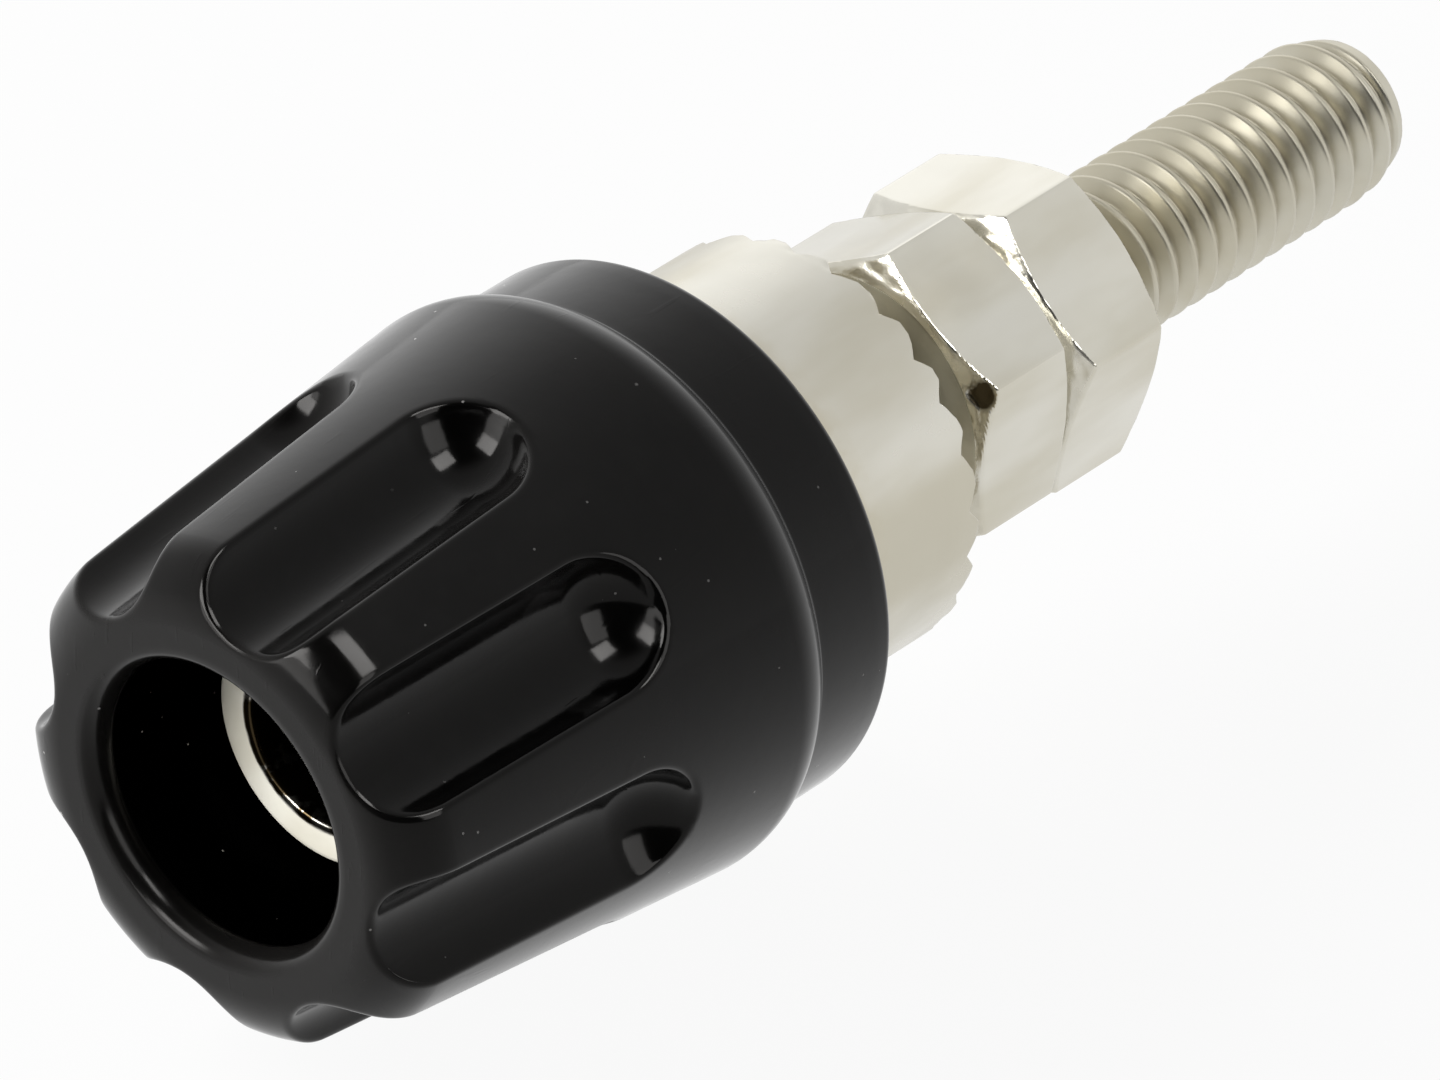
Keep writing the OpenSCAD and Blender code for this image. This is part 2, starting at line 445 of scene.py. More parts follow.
class Shader(NodeTree):
    """The node tree of one material around its Principled shader."""

    def __init__(self, name: str) -> None:
        """Starts a material with Object coordinates.

        Args:
            name: Name of the material.
        """
        self.material = bpy.data.materials.new(name)
        self.material.use_nodes = True
        super().__init__(self.material.node_tree)
        self.principled = self.nodes["Principled BSDF"]
        self.object_place = self.add("TexCoord").outputs["Object"]

    def set(self, socket: str, value: Value) -> None:
        """Sets or links one of the shader's own sockets."""
        self.put(self.principled, socket, value)

    def cloud(self, pattern: Cloud, to: Span = (0.0, 1.0)) -> Socket:
        """Noise on Object coordinates.

        Args:
            pattern: The noise pattern.
            to: The range that its spread becomes.

        Returns:
            Values in that range, or around 0.5 where the pattern has no spread.
        """
        at = self.add("Mapping", {"Scale": pattern.stretch, "Vector": self.object_place}).outputs["Vector"]
        inputs = {"Scale": pattern.scale, "Detail": pattern.detail, "Vector": at}
        noise = self.add("TexNoise", inputs).outputs["Fac"]
        return self.ramp(noise, *pattern.spread, *to) if pattern.spread else noise

    def specks(self, pattern: Specks) -> Socket:
        """Specks in the cells of a Voronoi pattern on Object coordinates.

        Args:
            pattern: The pattern of specks.

        Returns:
            1 on a speck and 0 elsewhere.
        """
        cells = self.add("TexVoronoi", {"Scale": pattern.scale, "Vector": self.object_place}).outputs
        near = self.ramp(cells["Distance"], pattern.size, 0.5 * pattern.size)
        pick = self.add("SeparateColor", {"Color": cells["Color"]}).outputs["Red"]
        return self.math("MULTIPLY", near, self.math("LESS_THAN", pick, pattern.share))

    def tint(self, share: Socket, at_zero: Colour | Socket, at_one: Colour) -> Socket:
        """Mixes two colours.

        Args:
            share: Share of the second.
            at_zero: First colour, or one that is mixed already.
            at_one: Second colour.

        Returns:
            The mixed colour.
        """
        first = (*at_zero, 1.0) if isinstance(at_zero, tuple) else at_zero
        colours = {0: share, 6: first, 7: (*at_one, 1.0)}
        return self.add("Mix", colours, data_type="RGBA").outputs[2]

    def attribute(self, name: str) -> Socket:
        """The value of a piece's own attribute."""
        return self.add("Attribute", attribute_name=name).outputs["Fac"]

    def bump(self, height: Socket, strength: float, depth_mm: float = 0.02) -> None:
        """Feeds a bump to the shader, on top of an earlier one.

        Args:
            height: Height from 0 to 1.
            strength: Share of the bump that shows.
            depth_mm: What a height of 1 stands for.
        """
        node = self.add("Bump", {"Strength": strength, "Distance": depth_mm * MM, "Height": height})
        earlier = self.principled.inputs["Normal"].links
        if earlier:
            self.put(node, "Normal", earlier[0].from_socket)
        self.set("Normal", node.outputs["Normal"])


@dataclass(frozen=True)
class BlackMoulding:
    """Glossy black moulding, duller and greyer on the front ring, with dust, fine scuffs and painted shade
    in the bore.
    """

    name: str = "black_moulding"
    deep: Colour = (0.0055, 0.0052, 0.005)
    worn: Colour = (0.009, 0.0085, 0.0081)
    ring: Colour = (0.012, 0.0113, 0.0107)
    # Painted shade: the near-black colour of the bore, darker than the moulding itself.
    painted_bore_shade: Colour = (0.0006, 0.0006, 0.0006)
    dust: Colour = (0.45, 0.44, 0.43)
    side_rough: Span = (0.09, 0.16)
    ring_rough: float = 0.17
    bore_rough: float = 0.4
    gloss: Colour = (0.2, 0.195, 0.19)
    gloss_level: float = 0.6
    tone: Cloud = Cloud(420.0, 4.0, (0.35, 0.7))
    haze: Cloud = Cloud(1500.0, 5.0, (0.3, 0.75))
    grain: Cloud = Cloud(2600.0, 4.0)
    grain_bump: float = 0.12
    scuffs: Cloud = Cloud(900.0, 2.0, (0.66, 0.74), (6.0, 0.5, 1.0))
    scuff_bump: float = 0.08
    specks: Specks = Specks(1400.0, 0.055, 0.5)
    fluff: Specks = Specks(420.0, 0.035, 0.5)

    def material(self) -> bpy.types.Material:
        """Builds the finish; the bore is painted shade in it, a near-black metal that mirrors no light.

        Returns:
            The material.
        """
        shader = Shader(self.name)
        shader.set("Specular IOR Level", self.gloss_level)
        shader.set("Specular Tint", (*self.gloss, 1.0))
        inside, on_ring = shader.attribute("inside"), shader.attribute("dull")
        colour = shader.tint(shader.cloud(self.tone), self.deep, self.worn)
        colour = shader.tint(on_ring, colour, self.ring)
        # Painted shade: the bore gets a near-black colour here and is made a metal below, so that it
        # mirrors nothing.
        colour = shader.tint(inside, colour, self.painted_bore_shade)
        dusty = shader.math("MAXIMUM", shader.specks(self.specks), shader.specks(self.fluff))
        shader.set("Base Color", shader.tint(dusty, colour, self.dust))
        shader.set("Metallic", inside)
        haze = shader.cloud(self.haze, self.side_rough)
        dull = shader.math("MULTIPLY", on_ring, self.ring_rough - self.side_rough[0])
        rough = shader.math("ADD", haze, shader.math("MULTIPLY", inside, self.bore_rough))
        shader.set("Roughness", shader.math("ADD", rough, dull))
        shader.bump(shader.cloud(self.grain), self.grain_bump)
        shader.bump(shader.cloud(self.scuffs), self.scuff_bump)
        return shader.material


@dataclass(frozen=True)
class SatinNickel:
    """Warm satin nickel on brass, with the marks of how the piece was worked."""

    name: str
    pale: Colour = (0.69, 0.673, 0.605)
    # Colour of real stains and spots, also laid on as painted shade or shadow where a piece marks it.
    warm: Colour = (0.57, 0.54, 0.445)
    stain_and_shade: Colour = (0.20, 0.145, 0.07)
    rough: Span = (0.2, 0.3)
    turning_marks: float = 0.1
    torn: float = 0.3
    torn_depth: float = 0.05
    tone: Cloud = Cloud(300.0, 4.0, (0.36, 0.66), (1.0, 0.3, 1.0))
    spots: Specks = Specks(900.0, 0.05, 0.1)
    spot_share: float = 0.5
    grime: Cloud = Cloud(1900.0, 5.0, (0.38, 0.62))
    grime_share: Span = (0.3, 1.0)
    haze: Cloud = Cloud(520.0, 5.0, (0.3, 0.7))
    rings: Cloud = Cloud(60.0, 6.0, stretch=(1.0, 70.0, 1.0))
    grain: Cloud = Cloud(3200.0, 3.0)
    grain_bump: float = 0.04
    tears: Cloud = Cloud(4200.0, 4.0)

    def material(self) -> bpy.types.Material:
        """Builds the finish, with the stain colour on places that a piece marks as stained or as painted
        shade, torn metal on worked and haze on matt places.

        Returns:
            The material.
        """
        shader = Shader(self.name)
        shader.set("Metallic", 1.0)
        colour = shader.tint(shader.cloud(self.tone), self.pale, self.warm)
        spotted = shader.math("MULTIPLY", shader.specks(self.spots), self.spot_share)
        colour = shader.tint(spotted, colour, self.stain_and_shade)
        # Painted shade and real dirt alike darken the colour here, as each piece marks them.
        grime = shader.cloud(self.grime, self.grime_share)
        dirt_and_shade = shader.math("MULTIPLY", shader.attribute("dirt_and_painted_shade"), grime)
        shader.set("Base Color", shader.tint(dirt_and_shade, colour, self.stain_and_shade))
        haze = shader.cloud(self.haze, self.rough)
        shader.set("Roughness", shader.math("ADD", haze, shader.attribute("matt")))
        shader.bump(shader.cloud(self.rings), self.turning_marks)
        shader.bump(shader.cloud(self.grain), self.grain_bump)
        torn = shader.math("MULTIPLY", shader.cloud(self.tears), shader.attribute("worked"))
        shader.bump(torn, self.torn, self.torn_depth)
        return shader.material


@dataclass(frozen=True)
class BareBrass:
    """Bare turned brass with fine rings along the axis."""

    name: str = "bare_brass"
    bright: Colour = (0.66, 0.47, 0.2)
    dull: Colour = (0.46, 0.31, 0.12)
    rough: Span = (0.22, 0.4)
    turning_marks: float = 0.15
    tone: Cloud = Cloud(380.0, 4.0, (0.35, 0.7))
    haze: Cloud = Cloud(900.0, 3.0, (0.3, 0.7))
    rings: Cloud = Cloud(60.0, 6.0, stretch=(1.0, 70.0, 1.0))

    def material(self) -> bpy.types.Material:
        """Builds the finish.

        Returns:
            The material.
        """
        shader = Shader(self.name)
        shader.set("Metallic", 1.0)
        shader.set("Base Color", shader.tint(shader.cloud(self.tone), self.bright, self.dull))
        shader.set("Roughness", shader.cloud(self.haze, self.rough))
        shader.bump(shader.cloud(self.rings), self.turning_marks)
        return shader.material


@dataclass
class FlutedCap:
    """The moulded screw cap: a tapered side with round-ended flutes, a ridge and a skirt."""

    front_y: float = -19.5
    length: float = 14.8
    front_r: float = 5.85
    ridge_r: float = 6.95
    ridge_round: float = 1.35
    ridge_fillet: float = 0.15
    skirt_length: float = 2.35
    skirt_r: float = 6.5
    skirt_round: float = 0.25
    ring_r: float = 4.85
    bevel_length: float = 0.95
    bevel_swell: float = 0.1
    bevel_blend: float = 0.42
    mouth_r: float = 3.8
    lip_depth: float = 0.6
    bore_r: float = 3.43
    seat_r: float = 4.02
    seat_end: float = 6.63
    recess_r: float = 5.18
    recess_floor: float = 13.6
    recess_hold: float = 0.4
    flutes: int = 8
    flute_r: float = 1.7
    flute_depth: float = 1.2
    flute_length: float = 8.3
    flute_turn: float = 34.75
    flute_blend: float = 0.13
    hub_r: float = 4.2
    hub_depth: float = 1.3
    fine_from: float = 5.4
    fine_to: float = 8.7
    plain_from: float = 9.3
    edge_round: float = 0.1
    ring_rows: int = 6
    fan_rows: int = 46
    run_rows: tuple[int, int, int] = (18, 46, 4)
    groove_columns: int = 20
    land_columns: int = 10
    gather: float = 1.3
    least_edge: float = 4.0
    halvings: int = 40
    dull_depth: Span = (0.2, 0.04)
    bore_fade: float = 0.05
    crease: float = 50.0
    finish: BlackMoulding = BlackMoulding()

    def side_r(self, depth: np.ndarray | float) -> np.ndarray | float:
        """Radius of the tapered side at a depth behind the front face."""
        return self.front_r + self.taper() * depth

    def taper(self) -> float:
        """Growth of the tapered side's radius for each millimetre of depth."""
        return (self.ridge_r - self.front_r) / self.ridge_at()

    def foot_turn(self) -> float:
        """Angle in degrees at which the ridge's rear meets the fillet at its foot."""
        drop = self.ridge_r - self.skirt_r
        return math.degrees(math.acos(1.0 - drop / (self.ridge_round + self.ridge_fillet)))

    def ridge_at(self) -> float:
        """Depth behind the front face at which the ridge is widest."""
        foot = (self.ridge_round + self.ridge_fillet) * math.sin(math.radians(self.foot_turn()))
        return self.length - self.skirt_length - foot

    def blank_field(self, r: np.ndarray, depth: np.ndarray) -> np.ndarray:
        """Signed distance, negative inside, to the cap without its flutes.

        Formula: rounded maximum of the front plane, the bevel's cone and the tapered side.

        Args:
            r: Radii from the axis.
            depth: Depths behind the front face.

        Returns:
            The field.
        """
        slope = math.atan(self.taper())
        side = (r - self.side_r(depth)) * math.cos(slope)
        rise = self.side_r(self.bevel_length) - self.ring_r
        chord = math.hypot(rise, self.bevel_length)
        bevel = ((r - self.ring_r) * self.bevel_length - depth * rise) / chord - self.bevel_swell
        return smooth_max(smooth_max(-depth, bevel, self.bevel_blend), side, self.bevel_blend)

    def flute_field(self, r: np.ndarray, depth: np.ndarray, swing: np.ndarray) -> np.ndarray:
        """Signed distance, negative inside, to a flute's round bar with its ball end.

        Formula: distance to a half line that runs parallel to the tapered side from the ball's
        centre to the front, less the flute's radius.

        Args:
            r: Radii from the axis.
            depth: Depths behind the front face.
            swing: Angles from the flute's middle.

        Returns:
            The field.
        """
        slope = math.atan(self.taper())
        ball_depth = self.flute_length - self.flute_r
        ball_r = self.flute_axis_r(ball_depth)
        out = r * np.cos(swing) - ball_r
        back = depth - ball_depth
        ahead = np.maximum(-out * math.sin(slope) - back * math.cos(slope), 0.0)
        out, back = out + ahead * math.sin(slope), back + ahead * math.cos(slope)
        return np.sqrt(out**2 + back**2 + (r * np.sin(swing)) ** 2) - self.flute_r

    def flute_axis_r(self, depth: np.ndarray | float) -> np.ndarray | float:
        """Radius at which a flute's own axis lies."""
        lift = (self.flute_r - self.flute_depth) / math.cos(math.atan(self.taper()))
        return self.side_r(depth) + lift

    def reach(
        self, base: np.ndarray, aim: np.ndarray, swing: np.ndarray, fluted: bool
    ) -> tuple[np.ndarray, np.ndarray]:
        """Where rays from inside the cap leave it, found by halving.

        Args:
            base: Start of each ray as (r, depth), one for each row.
            aim: Direction of each ray as (r, depth), one for each row.
            swing: Angles from the flute's middle, as (rows, columns).
            fluted: Whether the flutes are cut.

        Returns:
            Radii and depths as (rows, columns).
        """
        low = np.zeros(swing.shape)
        high = np.full(swing.shape, self.ridge_r)
        for _ in range(self.halvings):
            middle = 0.5 * (low + high)
            r = base[:, :1] + middle * aim[:, :1]
            depth = base[:, 1:] + middle * aim[:, 1:]
            field = self.blank_field(r, depth)
            if fluted:
                field = smooth_max(field, -self.flute_field(r, depth, swing), self.flute_blend)
            inside = field < 0.0
            low, high = np.where(inside, middle, low), np.where(inside, high, middle)
        return base[:, :1] + low * aim[:, :1], base[:, 1:] + low * aim[:, 1:]

    def rays(self) -> tuple[np.ndarray, np.ndarray]:
        """Rows of rays that cover the front ring, the bevel and the fluted side.

        Returns:
            Starts and directions as (r, depth), one for each row.
        """
        ring = np.linspace(self.mouth_r + self.edge_round, self.hub_r, self.ring_rows)
        fan = np.radians(np.linspace(0.0, 90.0, self.fan_rows))[1:]
        stops = (self.hub_depth, self.fine_from, self.fine_to, self.plain_from)
        stretches = zip(stops, stops[1:], self.run_rows)
        run = np.concatenate([np.linspace(*stretch)[1:] for stretch in stretches])
        base = np.concatenate([
            np.stack([ring, np.full(len(ring), self.hub_depth)], -1),
            np.tile([self.hub_r, self.hub_depth], (len(fan), 1)),
            np.stack([np.full(len(run), self.hub_r), run], -1),
        ])
        aim = np.concatenate([
            np.tile([0.0, -1.0], (len(ring), 1)),
            np.stack([np.sin(fan), -np.cos(fan)], -1),
            np.tile([1.0, 0.0], (len(run), 1)),
        ])
        return base, aim

    def swings(self, base: np.ndarray, aim: np.ndarray) -> np.ndarray:
        """Angles of the columns of one flute, gathered along the flute's rim.

        Formula: the rim lies where the bar or its ball end is as far from its axis as its radius.

        Args:
            base: Starts of the rays.
            aim: Directions of the rays.

        Returns:
            Angles from the flute's middle as (rows, columns), over one flute's share of a turn.
        """
        r, depth = self.reach(base, aim, np.zeros((len(base), 1)), False)
        ball_depth = self.flute_length - self.flute_r
        axis = self.flute_axis_r(np.minimum(depth, ball_depth))
        back = np.maximum(depth - ball_depth, 0.0)
        cosine = (r**2 + axis**2 + back**2 - self.flute_r**2) / (2.0 * r * axis)
        edge = np.maximum(np.arccos(np.clip(cosine, -1.0, 1.0)), math.radians(self.least_edge))
        half = math.pi / self.flutes
        inside = 1.0 - (1.0 - np.arange(self.groove_columns) / self.groove_columns) ** self.gather
        land = (np.arange(self.land_columns) / self.land_columns) ** self.gather
        right = np.hstack([edge * inside, edge + (half - edge) * land])
        left = np.hstack([np.full((len(base), 1), -half), -right[:, :0:-1]])
        return np.hstack([left, right])

    def plain_profile(self) -> np.ndarray:
        """Profile from the end of the flutes over the ridge and skirt and back to the mouth.

        Formula: straight lines and arcs, and a quarter of an ellipse as the mouth's rounded lip.

        Returns:
            Points (r, depth), one for each row.
        """
        lean, foot_turn = -math.degrees(math.atan(self.taper())), self.foot_turn()
        ridge = arc(self.ridge_r - self.ridge_round, self.ridge_at(), self.ridge_round, lean, foot_turn, 14)
        rear, step = self.length, self.length - self.skirt_length
        soft, foot, heel, edge = 0.5 * self.edge_round, self.ridge_fillet, self.skirt_round, self.edge_round
        turn = np.radians(np.linspace(90.0, 6.0, 10))
        lip_r = self.mouth_r - (self.mouth_r - self.bore_r) * np.sin(turn)
        lip = np.stack([lip_r, self.lip_depth * (1.0 - np.cos(turn))], -1)
        return np.vstack([
            line((self.side_r(self.plain_from), self.plain_from), tuple(ridge[0]), 6)[1:],
            ridge[1:],
            arc(self.skirt_r + foot, step, foot, 180.0 + foot_turn, 180.0, 8)[1:],
            line((self.skirt_r, step + foot), (self.skirt_r, rear - heel), 5),
            arc(self.skirt_r - heel, rear - heel, heel, 0.0, 90.0, 8)[1:],
            arc(self.recess_r + edge, rear - edge, edge, 90.0, 180.0, 5),
            line((self.recess_r, rear - self.recess_hold), (self.recess_r, self.recess_floor), 2),
            line((self.recess_r - soft, self.recess_floor), (self.seat_r, self.recess_floor), 2),
            line((self.seat_r, self.recess_floor - soft), (self.seat_r, self.seat_end), 3),
            line((self.seat_r - soft, self.seat_end), (self.bore_r, self.seat_end), 2),
            line((self.bore_r, self.seat_end - soft), (self.bore_r, self.lip_depth + EDGE_GAP), 3),
            lip,
        ])

    def build(self) -> Piece:
        """Builds the cap as one closed ring of rows.

        Formula: the fluted front is the rays' end points of one flute, repeated around the axis;
        the rest is a plain profile carried around the axis on the same columns.

        Returns:
            The piece.
        """
        base, aim = self.rays()
        swing = self.swings(base, aim)
        r, depth = self.reach(base, aim, swing, True)
        plain = self.plain_profile()
        shape = (len(plain), swing.shape[1])
        r = np.vstack([r, np.broadcast_to(plain[:, :1], shape)])
        depth = np.vstack([depth, np.broadcast_to(plain[:, 1:], shape)])
        swing = np.vstack([swing, np.broadcast_to(swing[-1], shape)])
        starts = math.radians(self.flute_turn) + angles(self.flutes)
        a = (starts[None, :, None] + swing[:, None, :]).reshape(len(swing), -1)
        rows = around_axis(np.tile(r, self.flutes), np.tile(depth, self.flutes) + self.front_y, a)
        piece = surface("fluted_cap", rows, Ends.RING, self.crease)
        self.dress(piece, r, depth)
        place(piece, Body.KNOB, "knob_cap", self.finish.material())
        return piece

    def dress(self, piece: Piece, r: np.ndarray, depth: np.ndarray) -> None:
        """Marks the dull front ring with its lip, and the bore, which gets painted shade.

        Args:
            piece: The cap.
            r: Radii of the points of one flute's columns.
            depth: Depths of the same points.
        """
        in_mouth = ease(r, self.mouth_r, (self.edge_round, 0.0))
        lip = in_mouth * ease(depth, self.lip_depth, (self.bore_fade, 0.0))
        # Painted shade: the bore behind the lip, which the finish paints near black.
        bore = in_mouth * ease(depth, self.lip_depth, (0.0, self.bore_fade))
        dull = np.maximum(ease(depth, 0.0, self.dull_depth), lip)
        paint(piece, "dull", np.tile(dull, self.flutes))
        paint(piece, "inside", np.tile(bore, self.flutes))


@dataclass
class SocketBarrel:
    """The threaded barrel with the drilled plug socket, its neck and the wire hole."""

    face_y: float = -16.0
    outer_r: float = 2.95
    outer_chamfer: float = 0.15
    socket_r: float = 2.0
    socket_chamfer: float = 0.13
    edge_shares: tuple[float, float, float] = (0.7, 0.55, 1.3)
    socket_end: float = -3.5
    drill_tip: float = -2.3
    neck_r: float = 2.5
    neck_from: float = -8.5
    shoulder_r: float = 0.02
    shoulder_y: Span = (0.06, 0.15)
    hold: float = 0.3
    collar_front: float = -5.75
    buried_to: float = -1.7
    rear_bevel: float = 0.2
    thread: ThreadForm = ThreadForm(pitch=0.75, depth=0.38, crest=0.16, root=0.2, corner=0.3)
    run_in: Span = (0.0, 0.4)
    run_out: Span = (0.01, -0.25)
    wire_hole_r: float = 1.1
    wire_hole_y: float = -7.125
    cutter_half: float = 4.0
    columns: int = 120
    thread_rows: int = 110
    hole_columns: int = 48
    crease: float = 35.0
    # Painted shade: how far out from the socket the face's inner edge is darkened, and how that fades.
    edge_shade_to: float = 2.2
    edge_shade_fade: Span = (0.05, -0.02)
    edge_shade_depth: Span = (0.6, 0.3)
    bore_fade: Span = (0.06, 0.01)
    bore_depth: Span = (0.1, 0.5)
    face_depth: Span = (0.16, 0.05)
    socket_painted_shade: float = 2.5
    bore_torn: float = 0.4
    socket_edge_painted_shade: float = 2.0
    edge_torn: float = 0.5
    face_matt: float = 0.6
    finish: SatinNickel = SatinNickel(
        "nickel_barrel",
        pale=(0.8, 0.785, 0.72),
        warm=(0.7, 0.675, 0.59),
        # Near black: the spots, and the painted shade in the socket and on its inner edge.
        stain_and_shade=(0.04, 0.029, 0.015),
        turning_marks=0.35,
    )

    def threaded(self, a: np.ndarray) -> np.ndarray:
        """The outside of the barrel with its thread, which fades at both ends.

        Formula: r = outer radius - depth * section(y / pitch + a / turn) * fade(y), a right-hand
        thread because a falls as y grows along a crest.

        Args:
            a: Angles of the columns.

        Returns:
            Points in mm as (rows, columns, 3).
        """
        start, stop = self.face_y + self.outer_chamfer, self.neck_from
        y = np.linspace(start, stop, self.thread_rows)[:, None]
        fade = ease(y, start, self.run_in) * ease(y, stop, self.run_out)
        cut = self.thread.cut(y / self.thread.pitch + a / TURN)
        return around_axis(self.outer_r - self.thread.depth * cut * fade, y, a)

    def build(self) -> Piece:
        """Builds the barrel and drills the wire hole through its neck.

        Formula: the profile runs from the drill point out of the socket, over the face, along the
        threaded outside and down the neck to the foot inside the collar.

        Returns:
            The piece.
        """
        a = angles(self.columns)
        face, bore_r, lip, bevel = self.face_y, self.socket_r, self.socket_chamfer, self.outer_chamfer
        middle, soft, end = (share * lip for share in self.edge_shares)
        cone = (self.drill_tip - self.socket_end) / bore_r
        inside = np.vstack([
            line((POLE_R, self.drill_tip - POLE_R * cone), (bore_r, self.socket_end), 4),
            line((bore_r, self.socket_end - EDGE_GAP), (bore_r, face + lip), 40),
            arc(bore_r + middle, face + soft, soft, 200.0, 265.0, 4),
            line((bore_r + end, face), (self.outer_r - bevel, face), 14),
            arc(self.outer_r - bevel, face + bevel, bevel, -75.0, -15.0, 4),
        ])
        neck, top, foot = self.neck_r, self.neck_from, self.buried_to
        outside = np.vstack([
            line((neck + self.shoulder_r, top + self.shoulder_y[0]), (neck, top + self.shoulder_y[1]), 2),
            line((neck, top + self.hold), (neck, self.collar_front), 12),
            line((neck, self.collar_front + self.hold), (neck, foot - self.rear_bevel), 3),
            line((neck - self.rear_bevel, foot), (POLE_R, foot), 2),
        ])
        rows = np.concatenate([turned(inside, a), self.threaded(a), turned(outside, a)])
        piece = surface("socket_barrel", rows, Ends.POLES, self.crease)
        self.dress(piece, rows)
        self.drill(piece)
        place(piece, Body.POST, "contact_post", self.finish.material())
        return piece

    def dress(self, piece: Piece, rows: np.ndarray) -> None:
        """Marks the bore and the inner edge of the face with painted shade and torn metal, and the matt
        face itself.

        Args:
            piece: The barrel.
            rows: Its points.
        """
        y, radius = rows[..., 1], np.hypot(rows[..., 0], rows[..., 2])
        # Painted shade: the socket bore and the face's inner edge, which mirrors the dark hole, are
        # darkened.
        in_bore = ease(radius, self.socket_r, self.bore_fade) * ease(y, self.face_y, self.bore_depth)
        edge = ease(radius, self.edge_shade_to, self.edge_shade_fade) * ease(y, self.face_y, self.edge_shade_depth)
        faced = ease(y, self.face_y, self.face_depth) * (1.0 - edge)
        paint(piece, "dirt_and_painted_shade", np.maximum(self.socket_painted_shade * in_bore, self.socket_edge_painted_shade * edge))
        paint(piece, "matt", self.face_matt * faced)
        paint(piece, "worked", np.maximum(self.bore_torn * in_bore, self.edge_torn * edge))

    def drill(self, piece: Piece) -> None:
        """Cuts the wire hole along X with a round bar and keeps the result in the mesh.

        Args:
            piece: The barrel.
        """
        t = angles(self.hole_columns)
        x = np.array([-self.cutter_half, self.cutter_half])
        bar = np.stack(np.broadcast_arrays(
            x[:, None],
            self.wire_hole_y + self.wire_hole_r * np.cos(t),
            self.wire_hole_r * np.sin(t),
        ), -1)
        cutter = surface("wire_hole_cutter", bar, Ends.POLES, self.crease)
        cut = piece.modifiers.new("wire_hole", "BOOLEAN")
        cut.object = cutter
        cut.operation = "DIFFERENCE"
        cut.solver = "EXACT"
        shaped = piece.evaluated_get(bpy.context.evaluated_depsgraph_get())
        mesh = bpy.data.meshes.new_from_object(shaped)
        piece.modifiers.clear()
        piece.data = mesh
        mesh.name = piece.name
        soften(mesh, self.crease)
        bpy.data.objects.remove(cutter)


